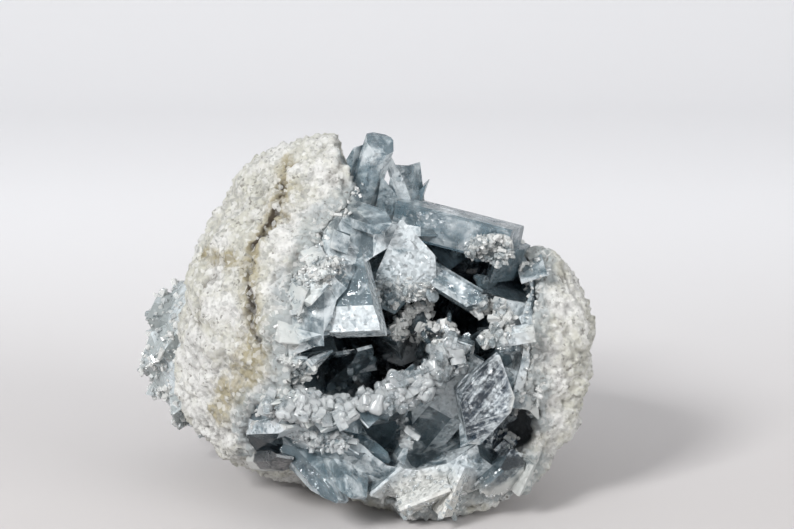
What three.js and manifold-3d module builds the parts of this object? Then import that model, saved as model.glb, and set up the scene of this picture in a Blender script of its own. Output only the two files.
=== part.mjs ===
// A celestite geode, in millimetres: a lumpy nodule of pale host rock that stands on a small flat spot,
// broken open at the front. Pale blue crystals line its hollow as one crust, and a second crystal mass
// sits on its rear left flank. X runs to the viewer's right, Y away from the viewer and Z up, and the
// origin is on the flat spot, under the nodule.
import * as THREE from "three";
import { ImprovedNoise } from "three/addons/math/ImprovedNoise.js";
import { mergeVertices } from "three/addons/utils/BufferGeometryUtils.js";
import Module from "manifold-3d";

const wasm = await Module();
wasm.setup();

// ---- Driving dimensions, in mm -------------------------------------------------------------------

// The nodule: the middle and half sizes of its rounded body, and the swells and hollows on it. A swell
// is a direction from the middle, a height and a spread in radians.
const NODULE = {
  middle: [-4, 3, 47],
  half: [53, 46, 50],
  swells: [
    { towards: [-0.85, -0.1, -0.45], height: 7, spread: 0.4 },
    { towards: [-0.66, -0.1, 0.7], height: 2, spread: 0.35 },
    { towards: [0.72, -0.62, -0.1], height: 8, spread: 0.5 },
    { towards: [0.47, -0.58, -0.67], height: 10, spread: 0.36 },
    { towards: [0.95, -0.2, -0.3], height: 2, spread: 0.4 },
    { towards: [0.75, 0.1, 0.5], height: -6, spread: 0.35 },
    { towards: [-0.25, -0.15, 0.95], height: 3, spread: 0.25 },
    { towards: [-0.45, -0.35, -0.85], height: -4, spread: 0.32 },
    { towards: [-0.4, 0.85, 0.3], height: 3, spread: 0.4 },
  ],
  lump: { wavelength: 23, height: 3.6 },
  grain: { wavelength: 11, height: 2 },
  detail: 9,
};

// The hollow in the nodule, as the balls it is made of. Massive crystal fills it up to the pockets,
// which are the open spaces in it.
const HOLLOW = [
  { middle: [0.5, -12, 48], half: [38, 38, 42], lump: { wavelength: 18, height: 2 }, detail: 4 },
  { middle: [-22, -22, 27], half: [18, 18, 17], lump: { wavelength: 14, height: 1.5 }, detail: 2 },
  { middle: [4, -24, 18], half: [31, 14, 12], lump: { wavelength: 14, height: 1.5 }, detail: 2 },
  { middle: [27, -27, 26], half: [11, 14, 12], lump: { wavelength: 14, height: 1 }, detail: 2 },
];
const POCKETS = [
  { middle: [5, -24, 45], half: [27, 27, 30], lump: { wavelength: 13, height: 3 }, detail: 3 },
  { middle: [21, -20, 60], half: [14, 18, 11], lump: { wavelength: 11, height: 2 }, detail: 1 },
  { middle: [-16, -29, 43], half: [15, 19, 9], lump: { wavelength: 11, height: 2 }, detail: 1 },
  { middle: [29, -27, 23], half: [9, 15, 9], lump: { wavelength: 11, height: 1.5 }, detail: 1 },
  { middle: [-32, -35, 18], half: [10, 9, 7], lump: { wavelength: 9, height: 1.5 }, detail: 1 },
];

// The broken face at the front: a domed surface whose nearest point is at the crown. It falls back by
// the square of the distance from there, over the falls, and by the recess above the crown's right.
const BREAK = {
  crown: [-19, -39, 55],
  fallRight: 240,
  fallUp: 85,
  fallDown: 300,
  recess: { depth: 14, right: 20, up: 20 },
  lump: { wavelength: 16, height: 1.6 },
};

// The piece that is missing from the upper right: its foot is where its floor meets its left wall.
const NOTCH = {
  foot: [-8, -18, 79],
  fallRight: 0.2, // how far its floor drops for each millimetre to the right and to the rear
  fallBack: 0.3,
  lean: 0.35, // how far its wall leans to the left for each millimetre up
  lump: { wavelength: 15, height: 2.5 },
};

const SEAT = 0.3; // gap between a crystal mass and the rock that holds it
const FLATNESS = 0.06; // faces closer to one plane than this are joined
const CRUST_LIFT = 0.8; // the crust stays this far above the surface that the nodule stands on

// The crevice across the left flank, as points on the way from top to bottom, and its size.
const CREVICE = {
  path: [
    [-27, -10, 91],
    [-29, -16, 86],
    [-31, -21, 80],
    [-36, -25, 73],
    [-37, -29, 65],
    [-36, -33, 56],
    [-34, -34, 50],
  ],
  width: 3.4,
  depth: 4,
  stretches: 14,
};
const CREVICE_BRANCH = {
  path: [
    [-37, -27, 68],
    [-44, -19, 69],
    [-52, -4, 67],
  ],
  width: 2.5,
  depth: 2.5,
  stretches: 4,
};

// The leading crystals: where each is rooted, where it ends, and how wide and deep it is. A habit names
// the faces that end it, roll turns it about its own length, in degrees.
const LEADING_CRYSTALS = [
  // The crown, over the top of the opening
  { foot: [-12, -8, 74], tip: [-4, -15, 99], width: 7.5, depth: 6, habit: "stub", roll: 15 },
  { foot: [-13, -8, 84], tip: [-9, -13, 97], width: 6, depth: 4, habit: "chisel", roll: 50 },
  { foot: [2, -9, 82], tip: [-3, -13, 96.5], width: 3, depth: 2, habit: "blade", roll: 10 },
  { foot: [-3, -9, 76], tip: [-4, -15, 89], width: 6, depth: 5, habit: "pyramid", roll: 30 },
  { foot: [0, -8, 76], tip: [-1, -11, 89], width: 4, depth: 4, habit: "chisel", roll: 70 },
  { foot: [1, -5, 76], tip: [2, -8, 91], width: 5, depth: 4, habit: "chisel", roll: 0 },
  { foot: [4, -3, 76], tip: [4, -6, 91], width: 5, depth: 4, habit: "chisel", roll: 40 },
  { foot: [3, -1, 77], tip: [8, -4, 86], width: 4, depth: 3, habit: "chisel", roll: 80 },
  { foot: [-16, -20, 82], tip: [-1.5, -29, 79], width: 8, depth: 6, habit: "prism", roll: 75 },
  { foot: [-24, -14, 73], tip: [-12, -27, 72], width: 9, depth: 7, habit: "prism", roll: 30 },
  { foot: [-12, -14, 77], tip: [-3, -24, 75], width: 2.5, depth: 3, habit: "blade", roll: 60 },
  // The lintel, a thick bar along the upper right edge
  { foot: [1, -9, 78], tip: [30, -20.5, 72.5], width: 9, depth: 11, habit: "beam", roll: -25 },
  { foot: [24, -14, 72], tip: [21, -27, 74], width: 9, depth: 7, habit: "chisel", roll: 15 },
  { foot: [30, -12, 68], tip: [25, -26, 68], width: 9, depth: 7, habit: "chisel", roll: 50 },
  // The left shoulder
  { foot: [-25, -24, 67], tip: [-14, -36, 71], width: 8, depth: 7, habit: "chisel", roll: 35 },
  { foot: [-28, -26, 62], tip: [-19, -40, 64], width: 7, depth: 7, habit: "chisel", roll: 70 },
  { foot: [-19, -25, 68], tip: [-17, -37, 54], width: 7, depth: 7, habit: "prism", roll: 15 },
  { foot: [-29, -26, 54], tip: [-20, -39, 53], width: 8, depth: 8, habit: "chisel", roll: 40 },
  { foot: [-9.5, -27, 73], tip: [-10, -37, 53.5], width: 13, depth: 9, habit: "wedge", roll: 10 },
  // The middle of the hollow
  { foot: [4, 8, 62], tip: [0, -19, 68], width: 12, depth: 10, habit: "bar", roll: 30 },
  { foot: [2, -17, 60], tip: [1, -27, 80], width: 15, depth: 10, habit: "pyramid", roll: 10 },
  { foot: [-5, -16, 72], tip: [-3, -24, 57], width: 6, depth: 5, habit: "chisel", roll: 35 },
  { foot: [2, -15, 68], tip: [22, -27, 58], width: 6, depth: 6, habit: "bar", roll: 20 },
  { foot: [6, 8, 38], tip: [3, -12, 46], width: 15, depth: 12, habit: "bar", roll: 15 },
  { foot: [4, -4, 42], tip: [6, -17, 56], width: 6, depth: 6, habit: "chisel", roll: 25 },
  { foot: [0, -4, 40], tip: [1, -19, 52], width: 8, depth: 7, habit: "chisel", roll: 60 },
  { foot: [8, -4, 40], tip: [10, -19, 51], width: 8, depth: 7, habit: "chisel", roll: 5 },
  { foot: [7, -8, 39], tip: [17, -23, 48], width: 7, depth: 6, habit: "prism", roll: 60 },
  { foot: [-20, -6, 31], tip: [-7, -24, 46.5], width: 8, depth: 7, habit: "prism", roll: 40 },
  { foot: [-9, -12, 18], tip: [3, -23, 30], width: 9, depth: 8, habit: "chisel", roll: 80 },
  { foot: [-2, -10, 10], tip: [21, -25, 44], width: 15, depth: 8, habit: "prism", roll: 0 },
  { foot: [6, -12, 23], tip: [7, -25, 33], width: 7, depth: 6, habit: "chisel", roll: 20 },
  // The right side
  { foot: [38, -2, 57], tip: [23, -14, 61], width: 8, depth: 4, habit: "blade", roll: 0 },
  { foot: [32, -16, 56], tip: [20, -28, 60], width: 6, depth: 6, habit: "chisel", roll: 10 },
  { foot: [37, -14, 52], tip: [25, -29, 57], width: 7, depth: 6, habit: "chisel", roll: 45 },
  { foot: [38, -14, 46], tip: [25, -30, 50], width: 7, depth: 6, habit: "chisel", roll: 80 },
  { foot: [18.5, -28, 25.5], tip: [25, -36.5, 48], width: 13, depth: 11, habit: "kite", roll: 15 },
  { foot: [20, -22, 28], tip: [18, -34, 24], width: 5, depth: 4, habit: "chisel", roll: 30 },
  { foot: [38, -6, 18], tip: [25, -20, 17], width: 8, depth: 6, habit: "prism", roll: 0 },
  { foot: [35, -8, 66], tip: [35, -22, 64], width: 7, depth: 6, habit: "chisel", roll: 20 },
  { foot: [37, -10, 43], tip: [34, -27, 42], width: 7, depth: 6, habit: "chisel", roll: 50 },
  { foot: [38, -10, 33], tip: [36, -26, 34], width: 6, depth: 5, habit: "chisel", roll: 80 },
  // The lower left
  { foot: [-34, -22, 33], tip: [-23, -37, 47], width: 8, depth: 7, habit: "prism", roll: 20 },
  { foot: [-30, -24, 38], tip: [-18, -38, 48], width: 6, depth: 6, habit: "chisel", roll: 55 },
  { foot: [-36, -16, 14], tip: [-27, -34, 20], width: 8, depth: 6, habit: "prism", roll: 10 },
  { foot: [-37, -20, 24], tip: [-24, -38, 30], width: 9, depth: 6, habit: "prism", roll: 35 },
  { foot: [-24, -22, 21], tip: [-12, -38, 24], width: 7, depth: 6, habit: "chisel", roll: 0 },
  // The lower edge
  { foot: [-17, -22, 24], tip: [-2, -33, 19], width: 6, depth: 6, habit: "prism", roll: 0 },
  { foot: [-27, -26, 21], tip: [-13, -37.5, 9.5], width: 9, depth: 8, habit: "prism", roll: 30 },
  { foot: [-20, -22, 23], tip: [-8.5, -37.5, 10.5], width: 9, depth: 8, habit: "prism", roll: 15 },
  { foot: [-6, -14, 8], tip: [-8, -32, 10], width: 7, depth: 5, habit: "chisel", roll: 15 },
  { foot: [0, -14, 10], tip: [-3, -34, 14], width: 11, depth: 9, habit: "chisel", roll: 35 },
  { foot: [8, -12, 5], tip: [7, -35, 9.5], width: 14, depth: 12, habit: "chisel", roll: 20 },
  { foot: [15, -10, 7], tip: [14, -34, 11], width: 14, depth: 11, habit: "chisel", roll: 65 },
  { foot: [29, -12, 10], tip: [26, -31, 15], width: 13, depth: 10, habit: "prism", roll: 35 },
  { foot: [32, -12, 12], tip: [33, -28, 12], width: 9, depth: 8, habit: "chisel", roll: 70 },
];

// The ridge of small crystals that bends across the front of the hollow.
const RIDGE = {
  path: [
    [-30, -35, 35],
    [-24, -37, 34],
    [-15, -37, 31],
    [-8, -35, 32],
    [-1, -33, 36],
    [6, -31, 40],
    [12, -29, 44],
    [16, -25, 47],
  ],
  crystals: 15,
  width: 6.5,
  length: 8,
};

// The smaller crystals that fill the lining between the leading ones, and those along its broken rim.
const FILLERS = { count: 34, shortest: 4, longest: 11, narrowest: 3.5, widest: 7 };
const ROOTED = 4; // how deep a small crystal stands in the massive crystal
const OPEN_CONE = 0.4; // no filler is rooted within this share of the way round to the opening
const FILLER_REACH = 3; // how far a filler's tip may stand out of the broken face
const RIM = { middle: [4, 46], half: [31, 36], from: 125, to: 215, crystals: 7, widest: 8, length: 8 };

// The crystal mass on the rear left flank.
const REAR_MASS = {
  middle: [-53, 25, 32],
  half: [17, 17, 21],
  lump: { wavelength: 12, height: 4 },
  detail: 2,
  crystals: 24,
  crystalWidth: 8,
  crystalLength: 11,
};

// ---- Tools ----------------------------------------------------------------------------------------

const noise = new ImprovedNoise();
const vector = (xyz) => new THREE.Vector3(...xyz);

// Smooth noise about zero over space: height times a value from -1 to 1.
function ripple(point, { wavelength, height }) {
  return height * noise.noise(point.x / wavelength, point.y / wavelength, point.z / wavelength);
}

// A closed geometry as a solid. Only positions are kept, so that shared vertices merge.
function solid(geometry) {
  const bare = geometry.clone();
  bare.deleteAttribute("normal");
  bare.deleteAttribute("uv");
  const merged = mergeVertices(bare, 1e-4);
  return new wasm.Manifold(
    new wasm.Mesh({
      numProp: 3,
      vertProperties: new Float32Array(merged.attributes.position.array),
      triVerts: new Uint32Array(merged.index.array),
    }),
  );
}

// A solid whose neighbouring faces are joined where they lie in one plane.
const joinFaces = (body, tolerance = 0.01) => body.asOriginal().simplify(tolerance);

// A solid as a named, coloured mesh, without slivers of the cuts that came loose.
function namedMesh(name, body, material) {
  const [largest] = joinFaces(body, FLATNESS).decompose().sort((a, b) => b.volume() - a.volume());
  const { vertProperties, triVerts } = largest.getMesh();
  const geometry = new THREE.BufferGeometry();
  geometry.setAttribute("position", new THREE.BufferAttribute(new Float32Array(vertProperties), 3));
  geometry.setIndex(new THREE.BufferAttribute(new Uint32Array(triVerts), 1));
  geometry.computeVertexNormals();
  const mesh = new THREE.Mesh(geometry, material);
  mesh.name = name;
  return mesh;
}

// Where the surface of a lumpy ball lies in a direction from its middle. Grow pushes it outwards, or
// inwards if negative.
function surfacePoint({ middle, half, swells = [], lump, grain }, way, grow = 0) {
  let radius = 1 / way.clone().divide(vector(half)).length() + grow;
  for (const swell of swells) {
    const angle = way.angleTo(vector(swell.towards));
    radius += swell.height * Math.exp(-((angle / swell.spread) ** 2));
  }
  const point = vector(middle).addScaledVector(way, radius);
  return point.addScaledVector(way, ripple(point, lump) + (grain ? ripple(point, grain) : 0));
}

// An ellipsoid with swells and lumps.
function lumpyBall(ball, grow = 0) {
  const geometry = new THREE.IcosahedronGeometry(1, ball.detail);
  const position = geometry.getAttribute("position");
  for (let i = 0; i < position.count; i++) {
    const way = new THREE.Vector3().fromBufferAttribute(position, i).normalize();
    const point = surfacePoint(ball, way, grow);
    position.setXYZ(i, point.x, point.y, point.z);
  }
  return solid(geometry);
}

// ---- Crystals -------------------------------------------------------------------------------------

// The faces that each habit adds to a square bar of half width 1, half depth 1 and length 1: the
// outward normal in those units, and how far out the face lies along it.
const bevels = (reach) => [
  [1, 1, 0, reach],
  [1, -1, 0, reach],
  [-1, 1, 0, reach],
  [-1, -1, 0, reach],
];
const HABITS = {
  prism: [...bevels(1.45), [0, 1, 1.6, 1.75], [0, -1, 2.2, 2.3], [1, 0, 3, 3.2]],
  chisel: [[0, 1, 1.8, 1.85], [0, -1, 1.4, 1.5]],
  blade: [[1, 0, 1.5, 1.6], [-1, 0, 2.5, 2.7], [1, 1, 0, 1.6], [-1, -1, 0, 1.6]],
  bar: [...bevels(1.6), [1, 0, 5, 5.4], [0, -1, 6, 6.3]],
  beam: [...bevels(1.85), [1, 0, 5, 5.6]],
  stub: [...bevels(1.45), [0.4, -1.6, 22, 21.3]],
  kite: [
    [1, 0.3, 1.8, 1.85],
    [-1, 0.3, 1.8, 1.85],
    [1, 0, -1.7, 0.25],
    [-1, 0, -1.7, 0.25],
    [0.2, 1, 1.5, 1.6],
    [-0.2, -1, 1.4, 1.5],
  ],
  wedge: [
    [1, 0, -0.95, 0.12],
    [-1, 0, -0.95, 0.12],
    [0, 1, -0.8, 0.35],
    [0, 1, 2, 2.4],
  ],
  pyramid: [
    [1, 0.5, 1.25, 1.3],
    [-1, 0.45, 1.2, 1.25],
    [0.3, 1, 1.15, 1.2],
    [-0.35, -1, 1.2, 1.25],
    [1, 0, -3, 0.75],
    [-0.4, 1, -4, 0.7],
  ],
};

// One crystal: a bar from foot to tip, cut by the faces of its habit.
function crystal({ foot, tip, width, depth, habit, roll }) {
  const start = vector(foot);
  const axis = vector(tip).sub(start);
  const length = axis.length();
  const up = new THREE.Vector3(0, 0, 1);
  const turn = new THREE.Quaternion().setFromUnitVectors(up, axis.normalize());
  turn.multiply(new THREE.Quaternion().setFromAxisAngle(up, THREE.MathUtils.degToRad(roll)));
  const place = new THREE.Matrix4().compose(start, turn, new THREE.Vector3(width / 2, depth / 2, length));
  let body = solid(new THREE.BoxGeometry(2, 2, 1).translate(0, 0, 0.5).applyMatrix4(place));
  for (const [x, y, z, reach] of HABITS[habit]) {
    const outward = new THREE.Vector3(x, y, z);
    const face = new THREE.Plane(outward.clone().normalize(), -reach / outward.length());
    face.applyMatrix4(place);
    body = body.trimByPlane(face.normal.negate().toArray(), face.constant);
  }
  return joinFaces(body);
}

// Numbers from 0 to 1 that look random and are the same in every run.
function numbers(seed) {
  let state = seed;
  return () => {
    state = (state * 1664525 + 1013904223) % 4294967296;
    return state / 4294967296;
  };
}

// Directions spread evenly over a sphere.
function evenDirections(count) {
  const goldenAngle = Math.PI * (3 - Math.sqrt(5));
  return Array.from({ length: count }, (_, i) => {
    const z = 1 - (2 * i + 1) / count;
    const r = Math.sqrt(1 - z * z);
    return new THREE.Vector3(r * Math.cos(goldenAngle * i), r * Math.sin(goldenAngle * i), z);
  });
}

// Whether a ball without its lumps holds a point.
function holds({ middle, half }, point) {
  return point.clone().sub(vector(middle)).divide(vector(half)).length() < 1;
}

// The fillers grow from the pocket's wall, in towards its middle and a little out to the opening, which
// looks forwards and up. None grows where the pocket at the lower right has taken the wall away, and
// none stands far out of the broken face.
function fillerCrystals() {
  const random = numbers(7);
  const between = (low, high) => low + (high - low) * random();
  const [pocket, , , lowerRight] = POCKETS;
  const middle = vector(pocket.middle);
  const opening = new THREE.Vector3(0, -1, 0.6).normalize();
  return evenDirections(FILLERS.count)
    .filter((way) => way.dot(opening) < OPEN_CONE)
    .map((way) => {
      const wall = way.clone().multiply(vector(pocket.half)).add(middle);
      const inward = way.clone().negate().addScaledVector(opening, 0.35);
      inward.add(new THREE.Vector3(between(-0.4, 0.4), between(-0.4, 0.4), between(-0.4, 0.4))).normalize();
      const width = between(FILLERS.narrowest, FILLERS.widest);
      const reach = between(FILLERS.shortest, FILLERS.longest);
      return {
        foot: wall.clone().addScaledVector(inward, -ROOTED).toArray(),
        tip: wall.clone().addScaledVector(inward, reach).toArray(),
        width,
        depth: width * between(0.6, 0.95),
        habit: "chisel",
        roll: between(0, 180),
      };
    })
    .filter(({ foot, tip }) => ![foot, tip].some((end) => holds(lowerRight, vector(end))))
    .filter(({ tip: [x, y, z] }) => y > breakDepth(x, z) - FILLER_REACH)
    .map(crystal);
}

// The ridge's crystals stand along its path, each turned a little further than the last.
function ridgeCrystals() {
  const random = numbers(23);
  const curve = new THREE.CatmullRomCurve3(RIDGE.path.map(vector));
  return Array.from({ length: RIDGE.crystals }, (_, i) => {
    const root = curve.getPointAt(i / (RIDGE.crystals - 1));
    const way = new THREE.Vector3(random() - 0.5, -0.9 - random(), 1.6 * (random() - 0.4)).normalize();
    return crystal({
      foot: root.clone().addScaledVector(way, -RIDGE.length / 2).toArray(),
      tip: root.clone().addScaledVector(way, RIDGE.length / 2).toArray(),
      width: RIDGE.width,
      depth: RIDGE.width * 0.8,
      habit: "chisel",
      roll: 50 * i,
    });
  });
}

// The rim crystals stand round the opening, on the broken face, and lean towards its middle.
function rimCrystals() {
  const random = numbers(11);
  const [middleX, middleZ] = RIM.middle;
  const [halfX, halfZ] = RIM.half;
  return Array.from({ length: RIM.crystals }, (_, i) => {
    const share = (i + 0.6 * random()) / RIM.crystals;
    const angle = THREE.MathUtils.degToRad(RIM.from + (RIM.to - RIM.from) * share);
    const x = middleX + halfX * Math.cos(angle);
    const z = middleZ + halfZ * Math.sin(angle);
    const root = new THREE.Vector3(x, breakDepth(x, z), z);
    const stray = [random() - 0.5, random() - 0.5];
    const way = new THREE.Vector3(stray[0] - 0.4 * Math.cos(angle), -1, stray[1] - 0.4 * Math.sin(angle));
    way.normalize();
    const width = RIM.widest * (0.55 + 0.45 * random());
    return crystal({
      foot: root.clone().addScaledVector(way, -0.7 * RIM.length).toArray(),
      tip: root.clone().addScaledVector(way, RIM.length * (0.15 + 0.3 * random())).toArray(),
      width,
      depth: width * 0.8,
      habit: "chisel",
      roll: 180 * random(),
    });
  });
}

// ---- Solids ---------------------------------------------------------------------------------------

// How far back the broken face lies at a height and a place across.
function breakDepth(x, z) {
  const { crown, fallRight, fallUp, fallDown, recess, lump } = BREAK;
  const [right, up] = [x - crown[0], z - crown[2]];
  const fall = right ** 2 / fallRight + up ** 2 / (up > 0 ? fallUp : fallDown);
  const { clamp } = THREE.MathUtils;
  const set = recess.depth * clamp(right / recess.right, 0, 1) * clamp(up / recess.up, 0, 1);
  return crown[1] + fall + set + ripple(new THREE.Vector3(x, crown[1], z), lump);
}

// A block of many faces, each vertex of which is moved to the place that a function gives.
function shapedBlock([wide, deep, tall], [columns, layers, rows], place) {
  const block = new THREE.BoxGeometry(wide, deep, tall, columns, layers, rows);
  const position = block.getAttribute("position");
  const point = new THREE.Vector3();
  for (let i = 0; i < position.count; i++) {
    place(point.fromBufferAttribute(position, i));
    position.setXYZ(i, point.x, point.y, point.z);
  }
  return solid(block);
}

// All that is broken off the nodule, in front of the broken face and in the notch. Offset moves both
// breaks into the nodule, or out of it if negative.
function brokenAway(offset = 0) {
  const front = shapedBlock([180, 60, 160], [15, 1, 14], (point) => {
    point.z += NODULE.middle[2];
    point.y = point.y > 0 ? breakDepth(point.x, point.z) + offset : -240;
  });
  const [footX, footY, footZ] = NOTCH.foot;
  const [wide, deep, tall] = [90, 150, 50];
  const notch = shapedBlock([wide, deep, tall], [6, 9, 2], (point) => {
    const [right, back, up] = [point.x + wide / 2, point.y, point.z + tall / 2];
    const relief = ripple(point, NOTCH.lump);
    point.x = footX + right - NOTCH.lean * up + relief - offset;
    point.y = footY + back;
    point.z = footZ + up - NOTCH.fallRight * right - NOTCH.fallBack * back + relief - offset;
  });
  return front.add(notch);
}

// A trench along a path on the nodule's surface, as a solid with three edges: one to either side, out in
// the open, and one at the bottom. The path strays a little sideways and the trench's size varies.
function trench({ path, width, depth, stretches }) {
  const curve = new THREE.CatmullRomCurve3(path.map(vector));
  const corners = [];
  for (let i = 0; i <= stretches; i++) {
    const along = curve.getTangentAt(i / stretches);
    const out = curve.getPointAt(i / stretches).sub(vector(NODULE.middle)).normalize();
    const point = surfacePoint(NODULE, out);
    const across = new THREE.Vector3().crossVectors(along, out).normalize();
    point.addScaledVector(across, ripple(point, { wavelength: 4, height: 2.5 }));
    const size = 1 + ripple(point, { wavelength: 5, height: 0.9 });
    for (const side of [-1, 1]) {
      const edge = point.clone().addScaledVector(out, 2 * depth);
      corners.push(edge.addScaledVector(across, side * size * width));
    }
    corners.push(point.clone().addScaledVector(out, -depth * size));
  }
  const faces = [0, 2, 1];
  for (let i = 0; i < 3 * stretches; i += 3) {
    for (const [a, b] of [[0, 1], [1, 2], [2, 0]]) {
      faces.push(i + a, i + b, i + 3 + a, i + b, i + 3 + b, i + 3 + a);
    }
  }
  const last = 3 * stretches;
  faces.push(last, last + 1, last + 2);
  const geometry = new THREE.BufferGeometry().setFromPoints(corners);
  geometry.setIndex(faces);
  return solid(geometry);
}

// The half space under a height.
function below(height) {
  const slab = 200;
  return solid(new THREE.BoxGeometry(slab, slab, slab).translate(0, 0, height - slab / 2));
}

// Several lumpy balls as one solid.
const joinedBalls = (balls, grow = 0) => wasm.Manifold.union(balls.map((ball) => lumpyBall(ball, grow)));

// The rock shell. Grow widens it all over, which leaves the seat of what must stay clear of it.
function rockShell(grow = 0) {
  return lumpyBall(NODULE, grow).subtract(joinedBalls(HOLLOW, -grow)).subtract(brokenAway(-grow));
}

function hostRock() {
  return rockShell().subtract(trench(CREVICE)).subtract(trench(CREVICE_BRANCH)).subtract(below(0));
}

// The crust is the lining of the hollow with every crystal that grows on it, cut clear of the rock.
function crystalCrust() {
  const lining = joinedBalls(HOLLOW, -SEAT)
    .intersect(lumpyBall(NODULE, -SEAT))
    .subtract(joinedBalls(POCKETS))
    .subtract(brokenAway());
  const small = [...fillerCrystals(), ...ridgeCrystals(), ...rimCrystals()];
  const crystals = [...LEADING_CRYSTALS.map(crystal), ...small];
  return wasm.Manifold.union([lining, ...crystals])
    .subtract(rockShell(SEAT))
    .subtract(below(CRUST_LIFT));
}

// The rear mass is a lumpy body with short crystals on it, cut clear of the rock.
function rearCrystals() {
  const random = numbers(41);
  const middle = vector(REAR_MASS.middle);
  const crystals = evenDirections(REAR_MASS.crystals).map((way) => {
    const root = way.clone().multiply(vector(REAR_MASS.half)).add(middle);
    return crystal({
      foot: root.clone().addScaledVector(way, -REAR_MASS.crystalLength * 0.7).toArray(),
      tip: root.clone().addScaledVector(way, REAR_MASS.crystalLength * (0.1 + 0.25 * random())).toArray(),
      width: REAR_MASS.crystalWidth * (0.8 + 0.8 * random()),
      depth: REAR_MASS.crystalWidth,
      habit: "chisel",
      roll: 180 * random(),
    });
  });
  return wasm.Manifold.union([lumpyBall(REAR_MASS), ...crystals])
    .subtract(lumpyBall(NODULE, SEAT))
    .subtract(below(CRUST_LIFT));
}

// ---- The part -------------------------------------------------------------------------------------

const rockFinish = new THREE.MeshStandardMaterial({ color: 0xd9d5c8, roughness: 0.92, metalness: 0 });
const crystalFinish = new THREE.MeshStandardMaterial({ color: 0xa9bcc6, roughness: 0.15, metalness: 0 });

const geode = new THREE.Group();
geode.add(namedMesh("host_rock", hostRock(), rockFinish));
geode.add(namedMesh("crystal_crust", crystalCrust(), crystalFinish));
geode.add(namedMesh("rear_crystals", rearCrystals(), crystalFinish));

export default geode;
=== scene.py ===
import sys
import logging
import math
from dataclasses import dataclass, field
from enum import Enum
from typing import Iterable, Optional, Union

import bpy
import numpy as np
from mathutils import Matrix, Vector, noise
from mathutils.bvhtree import BVHTree


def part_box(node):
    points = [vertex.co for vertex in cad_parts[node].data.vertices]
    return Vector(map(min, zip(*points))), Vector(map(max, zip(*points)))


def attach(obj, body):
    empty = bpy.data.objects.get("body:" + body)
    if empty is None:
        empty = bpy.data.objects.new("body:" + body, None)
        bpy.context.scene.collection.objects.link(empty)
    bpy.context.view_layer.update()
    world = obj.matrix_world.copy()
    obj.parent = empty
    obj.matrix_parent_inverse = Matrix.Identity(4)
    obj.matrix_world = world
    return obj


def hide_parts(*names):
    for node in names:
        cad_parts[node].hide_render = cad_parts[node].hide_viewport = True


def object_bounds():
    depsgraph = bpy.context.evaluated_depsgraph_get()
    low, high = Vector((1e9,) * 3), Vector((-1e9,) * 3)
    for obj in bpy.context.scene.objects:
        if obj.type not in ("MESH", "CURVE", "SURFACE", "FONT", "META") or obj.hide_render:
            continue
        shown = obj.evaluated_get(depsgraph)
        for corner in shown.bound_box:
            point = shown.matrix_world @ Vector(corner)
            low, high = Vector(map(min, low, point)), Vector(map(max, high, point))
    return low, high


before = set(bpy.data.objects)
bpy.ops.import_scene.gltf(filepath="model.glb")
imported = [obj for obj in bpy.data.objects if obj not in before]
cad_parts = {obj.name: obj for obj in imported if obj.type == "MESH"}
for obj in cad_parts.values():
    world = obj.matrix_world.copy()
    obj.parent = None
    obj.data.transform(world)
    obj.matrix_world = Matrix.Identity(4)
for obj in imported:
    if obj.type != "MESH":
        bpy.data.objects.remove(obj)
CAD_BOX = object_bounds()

log = logging.getLogger("geode")
MM = 0.001
Colour = tuple[float, float, float]
Point = tuple[float, float, float]
Ball = tuple[Point, Point]  # an ellipsoid's middle and half widths, in mm
MARGIN = 1e-5  # how far a piece stays inside the box that it may fill
STAIN_REACH = 0.009  # how far from a crystal the rock still knows of it


# ---- Shader maths ---------------------------------------------------------------------------------


class Value:
    """A number that varies over a surface: one output socket, with the arithmetic that it takes."""

    def __init__(self, shader: "Shader", socket: bpy.types.NodeSocket) -> None:
        """Wraps a socket of a shader's tree."""
        self.shader = shader
        self.socket = socket

    def _math(self, operation: str, *others: Union["Value", float]) -> "Value":
        """Adds a Math node on this value and others.

        Args:
            operation: the Math node's operation.
            others: what the operation takes besides this value.

        Returns:
            The node's result.
        """
        return self.shader.math(operation, self, *others)

    def __add__(self, other: Union["Value", float]) -> "Value":
        """This value plus another."""
        return self._math("ADD", other)

    __radd__ = __add__

    def __mul__(self, other: Union["Value", float]) -> "Value":
        """This value times another."""
        return self._math("MULTIPLY", other)

    __rmul__ = __mul__

    def __sub__(self, other: Union["Value", float]) -> "Value":
        """This value less another."""
        return self._math("SUBTRACT", other)

    def __rsub__(self, other: Union["Value", float]) -> "Value":
        """Another value less this one."""
        return self.shader.math("SUBTRACT", other, self)

    def clamped(self) -> "Value":
        """This value, held between 0 and 1."""
        return self.shader.ramp(self, 0.0, 1.0)


Input = Union[Value, bpy.types.NodeSocket, float, Colour, tuple]


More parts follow.
